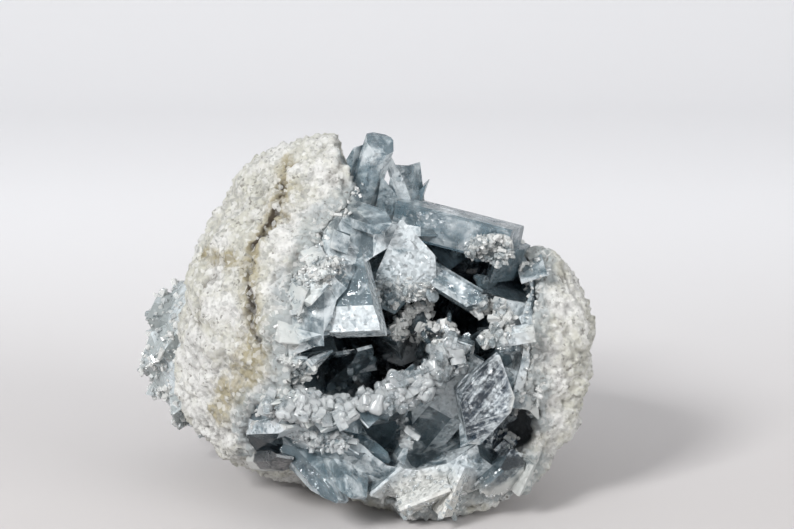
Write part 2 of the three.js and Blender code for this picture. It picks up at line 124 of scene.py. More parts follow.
class Shader:
    """A material with an empty node tree and the few ways in which the finishes fill it."""

    def __init__(self, name: str) -> None:
        """Makes the material.

        Args:
            name: the material's name.
        """
        self.material = bpy.data.materials.new(name)
        self.material.use_nodes = True
        self.tree = self.material.node_tree
        self.tree.nodes.clear()
        self.position = self.node("ShaderNodeTexCoord").outputs["Object"]

    def node(self, kind: str, settings: Optional[dict] = None,
             inputs: Optional[dict] = None) -> bpy.types.Node:
        """Adds any node.

        Args:
            kind: the node's type.
            settings: its own properties, set first.
            inputs: its sockets' values or links, by name or place.

        Returns:
            The node.
        """
        node = self.tree.nodes.new(kind)
        for key, value in (settings or {}).items():
            setattr(node, key, value)
        for key, value in (inputs or {}).items():
            self.feed(node.inputs[key], value)
        return node

    def feed(self, socket: bpy.types.NodeSocket, value: Input) -> None:
        """Links a value to a socket, or sets a plain one on it."""
        if isinstance(value, Value):
            value = value.socket
        if isinstance(value, bpy.types.NodeSocket):
            self.tree.links.new(value, socket)
        elif socket.type == "RGBA" and len(value) == 3:
            socket.default_value = (*value, 1.0)
        else:
            socket.default_value = value

    def math(self, operation: str, *values: Union[Value, float]) -> Value:
        """Adds a Math node and returns its result."""
        node = self.node("ShaderNodeMath", {"operation": operation}, dict(enumerate(values)))
        return Value(self, node.outputs[0])

    def vector(self, operation: str, *values: Input, out: str = "Vector",
               scale: Input = 1.0) -> bpy.types.NodeSocket:
        """Adds a Vector Math node.

        Args:
            operation: the node's operation.
            values: its vectors.
            out: the output that is wanted.
            scale: the factor of the SCALE operation.

        Returns:
            The output socket.
        """
        node = self.node("ShaderNodeVectorMath", {"operation": operation}, dict(enumerate(values)))
        if operation == "SCALE":
            self.feed(node.inputs["Scale"], scale)
        return node.outputs[out]

    def bent(self, size_mm: float, by_mm: float) -> bpy.types.NodeSocket:
        """Object coordinates, pushed about by a noise, so that patterns on them lose their order."""
        cloud = self.node("ShaderNodeTexNoise", {},
                          {"Vector": self.position, "Scale": 1 / (size_mm * MM), "Detail": 2})
        away = self.vector("SUBTRACT", cloud.outputs["Color"], (0.5, 0.5, 0.5))
        return self.vector("ADD", self.position, self.vector("SCALE", away, scale=2 * by_mm * MM))

    def noise(self, size_mm: float, detail: float = 2.0, rough: float = 0.5, at: Optional[Input] = None,
              twist: float = 0.0) -> Value:
        """Cloudy noise from 0 to 1.

        Args:
            size_mm: the size of its largest lumps.
            detail: how many finer layers it has.
            rough: how strong those are.
            at: the coordinates, or None for the object's own.
            twist: how far the layers are distorted.

        Returns:
            The noise.
        """
        node = self.node("ShaderNodeTexNoise", {}, {
            "Vector": self.position if at is None else at,
            "Scale": 1 / (size_mm * MM), "Detail": detail, "Roughness": rough, "Distortion": twist,
        })
        return Value(self, node.outputs["Fac"])

    def grains(self, size_mm: float, at: Optional[Input] = None) -> Value:
        """A number of its own, 0 to 1, for each of many small cells."""
        node = self.node("ShaderNodeTexVoronoi", {},
                         {"Vector": self.position if at is None else at, "Scale": 1 / (size_mm * MM)})
        parts = self.node("ShaderNodeSeparateXYZ", {}, {0: node.outputs["Color"]})
        return Value(self, parts.outputs["X"])

    def attribute(self, name: str, out: str = "Fac") -> Value:
        """A number or vector that the mesh carries."""
        node = self.node("ShaderNodeAttribute", {"attribute_name": name})
        return Value(self, node.outputs[out])

    def ramp(self, value: Value, low: float, high: float, smooth: bool = False) -> Value:
        """0 up to a low value, 1 from a high one, and in between in a line or a smooth curve."""
        kind = "SMOOTHSTEP" if smooth else "LINEAR"
        node = self.node("ShaderNodeMapRange", {"interpolation_type": kind, "clamp": True},
                         {"Value": value, "From Min": low, "From Max": high})
        return Value(self, node.outputs["Result"])

    def blend(self, share: Union[Value, float], first: Input, second: Input) -> bpy.types.NodeSocket:
        """Mixes two colours.

        Args:
            share: how much of the second there is, 0 to 1.
            first: the colour at 0.
            second: the colour at 1.

        Returns:
            The mixed colour.
        """
        node = self.node("ShaderNodeMix", {"data_type": "RGBA", "clamp_factor": True})
        self.feed(node.inputs[0], share)
        self.feed(node.inputs[6], first)
        self.feed(node.inputs[7], second)
        return node.outputs[2]

    def bump(self, height: Value, depth_mm: float, over: Optional[bpy.types.NodeSocket] = None,
             strength: float = 1.0) -> bpy.types.NodeSocket:
        """A Bump node's normal.

        Args:
            height: the relief, 0 to 1.
            depth_mm: how deep a change from 0 to 1 is.
            over: a coarser normal that this one adds to.
            strength: the share of the relief that shows.

        Returns:
            The normal.
        """
        inputs = {"Height": height, "Distance": depth_mm * MM, "Strength": strength}
        if over is not None:
            inputs["Normal"] = over
        return self.node("ShaderNodeBump", {}, inputs).outputs["Normal"]

    def facets(self, size_mm: float, tilt: Union[Value, float],
               at: Optional[Input] = None) -> bpy.types.NodeSocket:
        """A normal that is tilted a little in each of many small cells, as on a surface of tiny faces.

        Args:
            size_mm: how large the cells are.
            tilt: how far the faces lean.
            at: the coordinates, or None for the object's own.

        Returns:
            The normal.
        """
        cell = self.node("ShaderNodeTexVoronoi", {},
                         {"Vector": self.position if at is None else at, "Scale": 1 / (size_mm * MM)})
        lean = self.vector("SUBTRACT", cell.outputs["Color"], (0.5, 0.5, 0.5))
        lean = self.vector("SCALE", lean, scale=tilt)
        normal = self.node("ShaderNodeNewGeometry").outputs["Normal"]
        return self.vector("NORMALIZE", self.vector("ADD", normal, lean))

    def ball(self, middle: Point, half: Point) -> Value:
        """How far out a point lies in an ellipsoid in mm: 0 in its middle, 1 on its surface."""
        offset = self.vector("SUBTRACT", self.position, tuple(x * MM for x in middle))
        scaled = self.vector("DIVIDE", offset, tuple(x * MM for x in half))
        return Value(self, self.vector("LENGTH", scaled, out="Value"))

    def finish(self, surface: bpy.types.Node,
               volume: Optional[bpy.types.Node] = None) -> bpy.types.Material:
        """Ends the tree in a surface, and a volume if there is one, and returns the material."""
        output = self.node("ShaderNodeOutputMaterial", {}, {"Surface": surface.outputs[0]})
        if volume is not None:
            self.feed(output.inputs["Volume"], volume.outputs[0])
        return self.material


# ---- Finishes -------------------------------------------------------------------------------------


@dataclass(frozen=True)
class RockFinish:
    """Weathered limestone: cream-white crumbs, grey specks, ochre along the crevices, painted shade in
    its pits and on the inner wall at the lower right, and painted light on its lower left side.
    """

    name: str = "weathered_limestone"
    crumb: Colour = (0.62, 0.615, 0.545)
    chalk: Colour = (0.80, 0.80, 0.775)
    grey: Colour = (0.36, 0.365, 0.355)
    # Dark specks, and painted shade in the pits of the relief.
    speck_and_pit_shade: Colour = (0.15, 0.135, 0.115)
    ochre: Colour = (0.38, 0.33, 0.195)
    umber: Colour = (0.06, 0.045, 0.03)
    slate: Colour = (0.36, 0.405, 0.42)
    # Painted shade: the rock's inner wall in the recess at the lower right turns this near-black.
    shade: Colour = (0.03, 0.036, 0.042)
    # Painted light: the lower left side of the rock gets more chalk, as if lit.
    lit_flank: Ball = ((-42, -20, 28), (22, 26, 26))
    pocket: Ball = ((29, -12, 23), (10, 13, 10))

    def material(self) -> bpy.types.Material:
        """Makes the material from the relief, stain and edge numbers that the rock's mesh carries."""
        s = Shader(self.name)
        relief = s.attribute("relief")
        stain = s.attribute("stain")
        crack = s.attribute("crack")
        edge = s.attribute("edge")
        # Painted light: the lower left side of the rock is made chalkier, as if lit.
        lit_flank = s.ramp(s.ball(*self.lit_flank), 1.1, 0.5, smooth=True)
        chalk_and_lit_flank = s.ramp(s.noise(11, 4, 0.6) + lit_flank * 0.12, 0.42, 0.62, smooth=True)
        greyish = s.ramp(s.noise(5, 5, 0.7, twist=0.5), 0.5, 0.68, smooth=True)
        colour = s.blend(chalk_and_lit_flank, self.crumb, self.chalk)
        colour = s.blend(greyish * 0.6, colour, self.grey)
        warm = s.ramp(s.noise(6, 5, 0.7) + stain * 0.5, 0.6, 0.95, smooth=True)
        colour = s.blend(warm * 0.85, colour, self.ochre)
        blue = s.ramp(edge + (s.noise(4, 4, 0.6) - 0.5) * 0.9, 0.3, 0.8, smooth=True)
        colour = s.blend(blue * 0.8, colour, self.slate)
        # Painted shade in the pits: the lower the relief, the darker.
        colour = s.blend(s.ramp(relief, 0.36, 0.08) * 0.65, colour, self.speck_and_pit_shade)
        colour = s.blend(s.ramp(crack * s.noise(3, 2), 0.2, 0.5), colour, self.umber)
        bent = s.bent(1.5, 0.45)
        grain = s.grains(1.15, bent)
        dust = s.grains(0.55, bent)
        colour = s.blend(s.ramp(grain, 0.62, 1.0) * 0.75, colour, self.chalk)
        colour = s.blend(s.ramp(grain, 0.24, 0.0) * 0.5, colour, self.grey)
        specks = s.ramp(dust, 0.16, 0.02) * s.ramp(s.noise(4, 3), 0.38, 0.6)
        colour = s.blend(specks * 0.7, colour, self.speck_and_pit_shade)
        # Painted shade on the rock's inner wall in the recess at the lower right.
        colour = s.blend(s.ramp(s.ball(*self.pocket), 1.05, 0.8) * 0.93, colour, self.shade)
        coarse = s.bump(s.noise(1.8, 5, 0.8) + grain * 0.25, 1.0)
        normal = s.bump(s.noise(0.5, 3, 0.75) + dust * 0.4, 0.22, over=coarse)
        surface = s.node("ShaderNodeBsdfPrincipled", {}, {
            "Base Color": colour, "Roughness": 0.95 - 0.45 * blue, "IOR": 1.5, "Normal": normal,
        })
        return s.finish(surface)


@dataclass(frozen=True)
class CelestiteFinish:
    """Celestite: glassy, pale blue-grey, with milky veils, frosted faces and lines along them, painted
    shade deep in the hollow and in its pockets, and a painted highlight on the softened edges.
    """

    name: str
    pale: Colour = (0.62, 0.675, 0.70)
    blue: Colour = (0.25, 0.345, 0.395)
    navy: Colour = (0.075, 0.125, 0.165)
    # The near-black of dark clear crystals, and of painted shade in the hollow's depth and pockets.
    deep: Colour = (0.022, 0.031, 0.04)
    rind: Colour = (0.56, 0.57, 0.545)
    clear: float = 0.62
    lines: float = 0.35
    frost: float = 0.3
    gloss: float = 0.06
    taken: Colour = (0.42, 0.64, 0.74)
    taken_per_m: float = 70.0
    # How much painted shade darkens the crystals deep in the hollow.
    depth: float = 0.0
    cell_mm: float = 0.0
    cell_tilt: float = 0.0
    index: float = 1.62
    cloudy: float = 0.1
    brushed: tuple[Ball, ...] = ()
    ink: Colour = (0.035, 0.06, 0.09)
    cream: Colour = (0.64, 0.63, 0.59)
    creamy: tuple[Ball, ...] = ()
    # The middle and half widths of the part of the hollow that the painted shade darkens.
    shaded_core: Ball = ((3, 10, 49), (31, 29, 31))
    hollow: tuple[Ball, ...] = (
        ((0.5, -12, 48), (38, 38, 42)), ((-22, -22, 27), (18, 18, 17)), ((4, -24, 18), (31, 14, 12)),
        ((0, -13, 88), (17, 13, 20)), ((-10, -34, 13), (20, 11, 13)), ((-30, -32, 20), (12, 14, 12)),
        ((24, -21, 66), (22, 17, 17)),
    )

    def across(self, s: Shader) -> bpy.types.NodeSocket:
        """Coordinates that hardly change along the way of each face, for lines that run along it."""
        along = s.attribute("along", "Vector")
        reach = s.vector("DOT_PRODUCT", s.position, along, out="Value")
        most = s.vector("SCALE", along, scale=0.95)
        return s.vector("SUBTRACT", s.position, s.vector("SCALE", most, scale=reach))

    def material(self) -> bpy.types.Material:
        """Makes the material.

        The mesh carries tone, a number for each crystal or face, along, the way of each face, and how
        milky it is, from -1 where it is dark, as clear dark crystal and as painted shade in pockets, to 1
        where it is milky.
        """
        s = Shader(self.name)
        tone = s.attribute("tone")
        milk_and_shade = s.attribute("milk_and_shade")
        lines = s.noise(1.0, 3, 0.65, at=self.across(s))
        rim = s.attribute("rim")
        bent = s.bent(3.0, 0.8)
        veil = s.noise(6, 5, 0.62, twist=0.8) + (tone - 0.5) * 0.22 + milk_and_shade * 0.28
        veil = s.ramp(veil, 0.42, 0.7, smooth=True)
        frost = s.ramp(s.noise(3.5, 4, 0.6) + (tone - 0.5) * 0.45 + milk_and_shade * 0.2, 0.4, 0.75)
        colour = s.blend(veil, self.blue, self.pale)
        colour = s.blend(s.ramp(lines, 0.5, 0.75) * 0.25, colour, self.pale)
        sparkle = (s.ramp(milk_and_shade, 0.1, 0.7) + s.ramp(s.noise(7, 3), 0.52, 0.64) * 0.6).clamped()
        if self.cell_tilt:
            crack = s.grains(self.cell_mm * 2, bent)
            chip = s.grains(self.cell_mm, bent)
            colour = s.blend(s.ramp(crack + chip * 0.4, 0.75, 1.15) * sparkle * 0.8, colour, self.pale)
            shade = s.ramp(milk_and_shade, 1.0, 0.35) * 0.65 + 0.12
            colour = s.blend(s.ramp(crack + chip * 0.5, 0.5, 0.25) * sparkle * shade, colour, self.navy)
        # Below 0 the colour turns near-black: dark clear crystals, and painted shade in the pockets and
        # gaps.
        colour = s.blend(s.ramp(milk_and_shade * -1.0, 0.0, 1.0) * 0.93, colour, self.deep)
        # Painted highlight: the narrow faces along the softened edges are whitened.
        colour = s.blend(rim * s.ramp(milk_and_shade, -1.0, 0.0) * 0.55, colour, self.pale)
        outer = None
        # Painted shade: the deeper into the hollow, the nearer the colour comes to near-black, less so
        # where crystals are milkier.
        if self.depth:
            away = s.ball(*self.shaded_core) + (s.noise(5, 3) - 0.5) * 0.3 + milk_and_shade * 0.5
            colour = s.blend(s.ramp(away, 1.12, 0.72, smooth=True) * self.depth, colour, self.deep)
            for middle, half in self.hollow:
                reach = s.ball(middle, half)
                outer = reach if outer is None else s.math("MINIMUM", outer, reach)
            crumb = s.ramp(outer + (s.noise(3, 4, 0.6) - 0.5) * 0.25, 0.9, 1.04, smooth=True)
            colour = s.blend(crumb * 0.8, colour, self.rind)
            frost = (frost + crumb).clamped()
        milky = veil * 0.75 + s.ramp(milk_and_shade, 0.2, 1.0) * 0.35 + (s.noise(2.5, 4, 0.65) - 0.5) * 0.8
        milky = milky.clamped()
        milky = milky * s.ramp(milk_and_shade, -0.75, -0.15)
        for middle, half in self.creamy:
            near = s.ball(middle, half) + (s.noise(4, 4, 0.6) - 0.5) * 0.6
            colour = s.blend(s.ramp(near, 1.1, 0.6, smooth=True) * 0.7, colour, self.cream)
        for middle, half in self.brushed:
            inside = s.ramp(s.ball(middle, half), 1.05, 0.9)
            stroke = s.noise(1.1, 5, 0.8, at=self.across(s)) * 0.45
            stroke = s.ramp(stroke + s.noise(2.8, 5, 0.8, twist=0.5) * 0.55, 0.455, 0.57)
            colour = s.blend(inside, colour, s.blend(stroke, self.ink, self.pale))
            milky = milky * (1.0 - inside) + stroke * inside
        if outer is not None:
            milky = (milky + crumb).clamped()
        rough = self.gloss + frost * self.frost
        over = None
        if self.cell_tilt:
            over = s.facets(self.cell_mm, (sparkle + 0.05) * self.cell_tilt, bent)
        coarse = s.bump(lines, 0.4, over=over, strength=self.lines)
        normal = s.bump(s.noise(0.7, 3, 0.6), 0.14, over=coarse, strength=0.7)
        glassy, cloudy = (s.node("ShaderNodeBsdfPrincipled", {}, {
            "Base Color": colour, "Roughness": rough, "IOR": self.index,
            "Transmission Weight": through, "Normal": normal,
        }) for through in (self.clear, self.cloudy))
        surface = s.node("ShaderNodeMixShader", {},
                         {0: milky, 1: glassy.outputs[0], 2: cloudy.outputs[0]})
        volume = s.node("ShaderNodeVolumeAbsorption", {},
                        {"Color": self.taken, "Density": self.taken_per_m})
        return s.finish(surface, volume)


@dataclass(frozen=True)
class FloorFinish:
    """Plain pale studio paper, with painted shade that makes it a little darker underfoot than up the
    wall.
    """

    name: str = "studio_paper"
    # Painted shade: the paper underfoot is darker than up the wall.
    near: Colour = (0.505, 0.485, 0.48)
    far: Colour = (0.83, 0.83, 0.845)

    def material(self) -> bpy.types.Material:
        """Makes the material."""
        s = Shader(self.name)
        depth = Value(s, s.node("ShaderNodeSeparateXYZ", {}, {0: s.position}).outputs["Y"])
        # Painted shade: darker towards the front, lighter up the wall.
        colour = s.blend(s.ramp(depth, -0.1, 0.5, smooth=True), self.near, self.far)
        surface = s.node("ShaderNodeBsdfPrincipled", {}, {"Base Color": colour, "Roughness": 0.75})
        return s.finish(surface)


# ---- Workshop: meshes and how they are cut and marked ----------------------------------------------


class Workshop:
    """The hand tools of the other classes: selecting, copying, cutting and marking meshes."""

    @staticmethod
    def pick(piece: bpy.types.Object) -> None:
        """Selects one object alone and makes it the active one."""
        bpy.ops.object.select_all(action="DESELECT")
        piece.select_set(True)
        bpy.context.view_layer.objects.active = piece

    @staticmethod
    def merged_copy(node: str, name: str) -> bpy.types.Object:
        """A CAD node's mesh as a new object, with its triangles joined.

        Args:
            node: the CAD node.
            name: the new object's name.

        Returns:
            The copy, which is selected.
        """
        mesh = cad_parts[node].data.copy()
        mesh.name = name
        mesh.materials.clear()
        piece = bpy.data.objects.new(name, mesh)
        bpy.context.scene.collection.objects.link(piece)
        Workshop.pick(piece)
        bpy.ops.object.mode_set(mode="EDIT")
        bpy.ops.mesh.select_all(action="SELECT")
        bpy.ops.mesh.remove_doubles(threshold=1e-6)
        bpy.ops.object.mode_set(mode="OBJECT")
        return piece

    @staticmethod
    def modify(piece: bpy.types.Object, kind: str, **settings: object) -> None:
        """Adds a modifier with its settings and applies it."""
        Workshop.pick(piece)
        modifier = piece.modifiers.new(kind.lower(), kind)
        for key, value in settings.items():
            setattr(modifier, key, value)
        bpy.ops.object.modifier_apply(modifier=modifier.name)

    @staticmethod
    def points(mesh: bpy.types.Mesh) -> np.ndarray:
        """A mesh's vertices, one row each."""
        flat = np.zeros(len(mesh.vertices) * 3)
        mesh.vertices.foreach_get("co", flat)
        return flat.reshape(-1, 3)

    @staticmethod
    def normals(mesh: bpy.types.Mesh) -> np.ndarray:
        """A mesh's vertex normals, one row each."""
        flat = np.zeros(len(mesh.vertices) * 3)
        mesh.vertex_normals.foreach_get("vector", flat)
        return flat.reshape(-1, 3)

    @staticmethod
    def mark(mesh: bpy.types.Mesh, name: str, values: np.ndarray, domain: str = "POINT") -> None:
        """Lets a mesh carry a number or a vector for each vertex or face."""
        wide = values.ndim == 2
        layer = mesh.attributes.new(name, "FLOAT_VECTOR" if wide else "FLOAT", domain)
        layer.data.foreach_set("vector" if wide else "value", values.astype(np.float32).ravel())

    @staticmethod
    def triangles(mesh: bpy.types.Mesh) -> np.ndarray:
        """A mesh's triangles, as the places of their corners."""
        mesh.calc_loop_triangles()
        index = np.zeros(len(mesh.loop_triangles) * 3, np.int32)
        mesh.loop_triangles.foreach_get("vertices", index)
        return Workshop.points(mesh)[index.reshape(-1, 3)]

    @staticmethod
    def place(piece: bpy.types.Object, node: Optional[str], slot: str,
              material: bpy.types.Material) -> None:
        """Gives a piece its material and body, and lets it stand for a CAD node if one is named."""
        piece.data.materials.append(material)
        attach(piece, "root")
        if node is not None:
            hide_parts(node)
        count = sum(len(p.vertices) - 2 for p in piece.data.polygons)
        log.info("%s: %d triangles", piece.name, count)


def tree_of(piece: bpy.types.Object) -> BVHTree:
    """A piece's mesh as a tree for distances and rays."""
    mesh = piece.data
    return BVHTree.FromPolygons([v.co for v in mesh.vertices], [p.vertices for p in mesh.polygons])


def kept_inside(points: np.ndarray, box: Iterable[Iterable[float]]) -> np.ndarray:
    """Points, held a margin inside a box of two corners."""
    low, high = (np.array(corner) for corner in box)
    return np.clip(points, low + MARGIN, high - MARGIN)


def faded(gap: np.ndarray, width: float, most: float = 1.0) -> np.ndarray:
    """A number that is the most where a gap is 0, and fades out over a width."""
    return most * np.exp(-((gap / width) ** 2))


def distance_to_path(points: np.ndarray, path: np.ndarray) -> np.ndarray:
    """How far each point lies from a path of straight stretches."""
    best = np.full(len(points), np.inf)
    for start, end in zip(path[:-1], path[1:]):
        way = end - start
        share = np.clip(((points - start) @ way) / (way @ way), 0, 1)
        best = np.minimum(best, np.linalg.norm(points - start - share[:, None] * way, axis=1))
    return best


# ---- The pieces -----------------------------------------------------------------------------------


@dataclass
class HostRock:
    """The nodule's shell: the CAD solid with a fine grid, and relief on it at several sizes."""

    voxel: float = 0.8 * MM
    seed: int = 4
    finish: RockFinish = field(default_factory=RockFinish)
    crevice: tuple[Point, ...] = (
        (-27, -10, 91), (-29, -16, 86), (-31, -21, 80), (-36, -25, 73), (-37, -29, 65), (-36, -33, 56),
        (-34, -34, 50),
    )
    branch: tuple[Point, ...] = ((-37, -27, 68), (-44, -19, 69), (-52, -4, 67))
    seep: tuple[Point, ...] = ((-34, -34, 52), (-36, -33, 46), (-41, -29, 38), (-46, -20, 28))

    @staticmethod
    def height(point: np.ndarray) -> float:
        """The relief in mm at a point in mm: swells, broken chips, crumbs and grain."""
        where = Vector(point)
        swell = noise.fractal(where / 8, 0.8, 2.1, 3)
        near, far = noise.voronoi(where / 4.4 + 0.5 * noise.noise_vector(where / 3.0))[0][:2]
        chip = min(far - near, 0.3)
        boss = noise.voronoi(where / 8 + 0.3 * noise.noise_vector(where / 5))[0][0]
        crumb = noise.fractal(where / 2.3, 0.55, 2.3, 4)
        step = noise.cell(where / 1.9 + 0.8 * noise.noise_vector(where / 2))
        return 1.3 * swell + 2.0 * (0.35 - boss**2) + 2.0 * (chip - 0.2) + 0.8 * crumb + 0.3 * step

    def build(self, crust: BVHTree) -> bpy.types.Object:
        """Makes the rock.

        Args:
            crust: the crystals, for the stain that runs along them.

        Returns:
            The finished piece.
        """
        noise.seed_set(self.seed)
        piece = Workshop.merged_copy("host_rock", "limestone_shell")
        Workshop.modify(piece, "REMESH", mode="VOXEL", voxel_size=self.voxel, use_smooth_shade=True)
        mesh = piece.data
        places, out = Workshop.points(mesh), Workshop.normals(mesh)
        heights = np.array([self.height(p / MM) for p in places])
        gap = np.array([crust.find_nearest(Vector(p), STAIN_REACH)[3] or STAIN_REACH for p in places])
        near_crystal = np.clip(1 - gap / (7 * MM), 0, 1)
        heights += 0.7 * np.clip(1 - gap / (2 * MM), 0, 1)
        moved = kept_inside(places + out * heights[:, None] * MM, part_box("host_rock"))
        mesh.vertices.foreach_set("co", moved.ravel())
        mesh.update()
        Workshop.mark(mesh, "relief", np.clip((heights + 2.0) / 4.0, 0, 1))
        Workshop.mark(mesh, "edge", near_crystal)
        split, fork, seep = (distance_to_path(moved, np.array(path) * MM) / MM
                             for path in (self.crevice, self.branch, self.seep))
        stain = np.maximum(faded(split, 3.8), faded(fork, 3.2, 0.8))
        Workshop.mark(mesh, "stain", np.maximum(stain, faded(seep, 6.5, 0.85)))
        Workshop.mark(mesh, "crack", np.maximum(faded(split, 2.2), faded(fork, 2, 0.5)))
        Workshop.place(piece, "host_rock", "host_rock", self.finish.material())
        return piece


@dataclass(frozen=True)
class Zone:
    """A place, in mm, where crystals are milkier (up to 1) or darker (down to -1): darker and clearer at
    some places, and painted shade at the pockets and gaps.
    """

    middle: Point
    half: Point
    milk_and_shade: float


def milk_and_shade_of(zones: Iterable[Zone], points: np.ndarray) -> np.ndarray:
    """How milky crystals are at each of some points; below 0 they are darker, as dark clear crystals and
    as painted shade in pockets and gaps.
    """
    total = np.zeros(len(points))
    for zone in zones:
        away = (((points / MM - np.array(zone.middle)) / np.array(zone.half)) ** 2).sum(axis=1)
        total += zone.milk_and_shade * np.exp(-(away**2))
    return np.clip(total, -1, 1)


@dataclass
class CrystalMass:
    """A grown-together crystal mass: the CAD solid with its edges softened and each face marked."""

    node: str
    name: str
    finish: CelestiteFinish
    zones: tuple[Zone, ...] = ()
    edge_mm: float = 0.22
    seed: int = 5

    def build(self) -> bpy.types.Object:
        """Makes the mass and returns it."""
        piece = Workshop.merged_copy(self.node, self.name)
        bpy.ops.object.mode_set(mode="EDIT")
        bpy.ops.mesh.select_all(action="SELECT")
        bpy.ops.mesh.dissolve_limited(angle_limit=math.radians(1.5))
        bpy.ops.object.mode_set(mode="OBJECT")
        self.mark_faces(piece.data)
        Workshop.modify(piece, "BEVEL", width=self.edge_mm * MM, segments=1, limit_method="ANGLE",
                        angle_limit=math.radians(20), use_clamp_overlap=True)
        # The narrow faces of the softened edges, which the finish whitens as a painted highlight.
        Workshop.mark(piece.data, "rim", self.narrow(piece.data), "FACE")
        Workshop.modify(piece, "TRIANGULATE")
        Workshop.place(piece, self.node, "celestite", self.finish.material())
        return piece

    def narrow(self, mesh: bpy.types.Mesh) -> np.ndarray:
        """1 for each face as narrow as a softened edge, and 0 for the others."""
        rims = np.zeros(len(mesh.polygons))
        for face in mesh.polygons:
            ring = [mesh.vertices[i].co for i in face.vertices]
            longest = max((a - b).length for a, b in zip(ring, ring[1:] + ring[:1]))
            rims[face.index] = face.area < longest * 2 * self.edge_mm * MM
        return rims

    def mark_faces(self, mesh: bpy.types.Mesh) -> None:
        """Lets each face carry a tone of its own and the way of its longest edge."""
        rng = np.random.default_rng(self.seed)
        places = Workshop.points(mesh)
        along = np.zeros((len(mesh.polygons), 3))
        for face in mesh.polygons:
            ring = places[list(face.vertices)]
            edges = np.roll(ring, -1, axis=0) - ring
            length = np.linalg.norm(edges, axis=1)
            along[face.index] = edges[length.argmax()] / max(length.max(), 1e-9)
        middles = np.array([places[list(face.vertices)].mean(axis=0) for face in mesh.polygons])
        Workshop.mark(mesh, "along", along, "FACE")
        Workshop.mark(mesh, "tone", rng.random(len(along)), "FACE")
        Workshop.mark(mesh, "milk_and_shade", milk_and_shade_of(self.zones, middles), "FACE")


class Habit(Enum):
    """The forms of the small crystals."""

    BLOCK = "block"
    WEDGE = "wedge"
    BLADE = "blade"
    BEAD = "bead"


# How wide each form is on its three axes, and the planes that cut it: a point and the way that goes.
FORMS: dict[Habit, tuple[Point, tuple[tuple[Point, Point], ...]]] = {
    Habit.BLOCK: ((0.62, 0.5, 1.0), (
        ((0.24, 0, 0.72), (0.7, 0, 0.7)), ((0, -0.2, 0.7), (0, -0.75, 0.65)),
        ((-0.26, 0.16, 0.4), (-0.7, 0.7, 0.1)), ((-0.2, 0, 0.76), (-0.5, 0.1, 0.85)),
    )),
    Habit.WEDGE: ((0.6, 0.42, 1.15), (
        ((0, 0.06, 0.9), (0, 0.8, 0.6)), ((0, -0.06, 0.9), (0, -0.8, 0.6)),
        ((0.24, 0, 0.8), (0.85, 0, 0.5)), ((-0.27, 0.1, 0.3), (-0.8, 0.6, 0)),
    )),
    Habit.BLADE: ((0.7, 0.22, 1.1), (
        ((0.22, 0, 0.8), (0.8, 0, 0.6)), ((-0.28, 0, 0.7), (-0.85, 0, 0.5)),
        ((0, 0.08, 0.8), (0, 0.9, 0.4)),
    )),
    Habit.BEAD: ((0.85, 0.75, 1.0), (
        ((0.3, 0, 0.7), (0.8, 0.2, 0.7)), ((-0.25, -0.3, 0.5), (-0.7, -0.7, 0.3)),
    )),
}


@dataclass(frozen=True)
class Grain:
    """One small crystal, about 1 long from its root at the origin, as points and triangles."""

    points: np.ndarray
    faces: np.ndarray

    @staticmethod
    def cut(habit: Habit) -> "Grain":
        """Models a small crystal of a habit from a block, and reads it back.

        Args:
            habit: its form.

        Returns:
            The crystal.
        """
        bpy.ops.object.select_all(action="DESELECT")
        bpy.ops.mesh.primitive_cube_add(size=1, location=(0, 0, 0.3))
        block = bpy.context.active_object
        bpy.ops.object.transform_apply(location=True)
        wide, cuts = FORMS[habit]
        bpy.ops.object.mode_set(mode="EDIT")
        bpy.ops.mesh.select_all(action="SELECT")
        bpy.ops.transform.resize(value=wide)
        for place, way in cuts:
            bpy.ops.mesh.select_all(action="SELECT")
            bpy.ops.mesh.bisect(plane_co=place, plane_no=way, use_fill=True, clear_outer=True)
        bpy.ops.mesh.select_all(action="SELECT")
        bpy.ops.mesh.remove_doubles(threshold=1e-4)
        if habit is Habit.BEAD:
            bpy.ops.mesh.bevel(offset=0.2, segments=2, profile=0.5)
        bpy.ops.mesh.normals_make_consistent(inside=False)
        bpy.ops.mesh.quads_convert_to_tris()
        bpy.ops.object.mode_set(mode="OBJECT")
        mesh = block.data
        faces = np.array([p.vertices[:] for p in mesh.polygons])
        grain = Grain(Workshop.points(mesh), faces[np.lexsort(faces.T)])
        bpy.data.objects.remove(block)
        bpy.data.meshes.remove(mesh)
        return grain


@dataclass(frozen=True)
class Patch:
    """A stretch of surface that small crystals cover: where, how many, and their sizes, in mm."""

    middle: Point
    half: Point
    count: int
    small: float
    large: float
    lean: float = 0.5
    milk_and_shade: float = 0.2


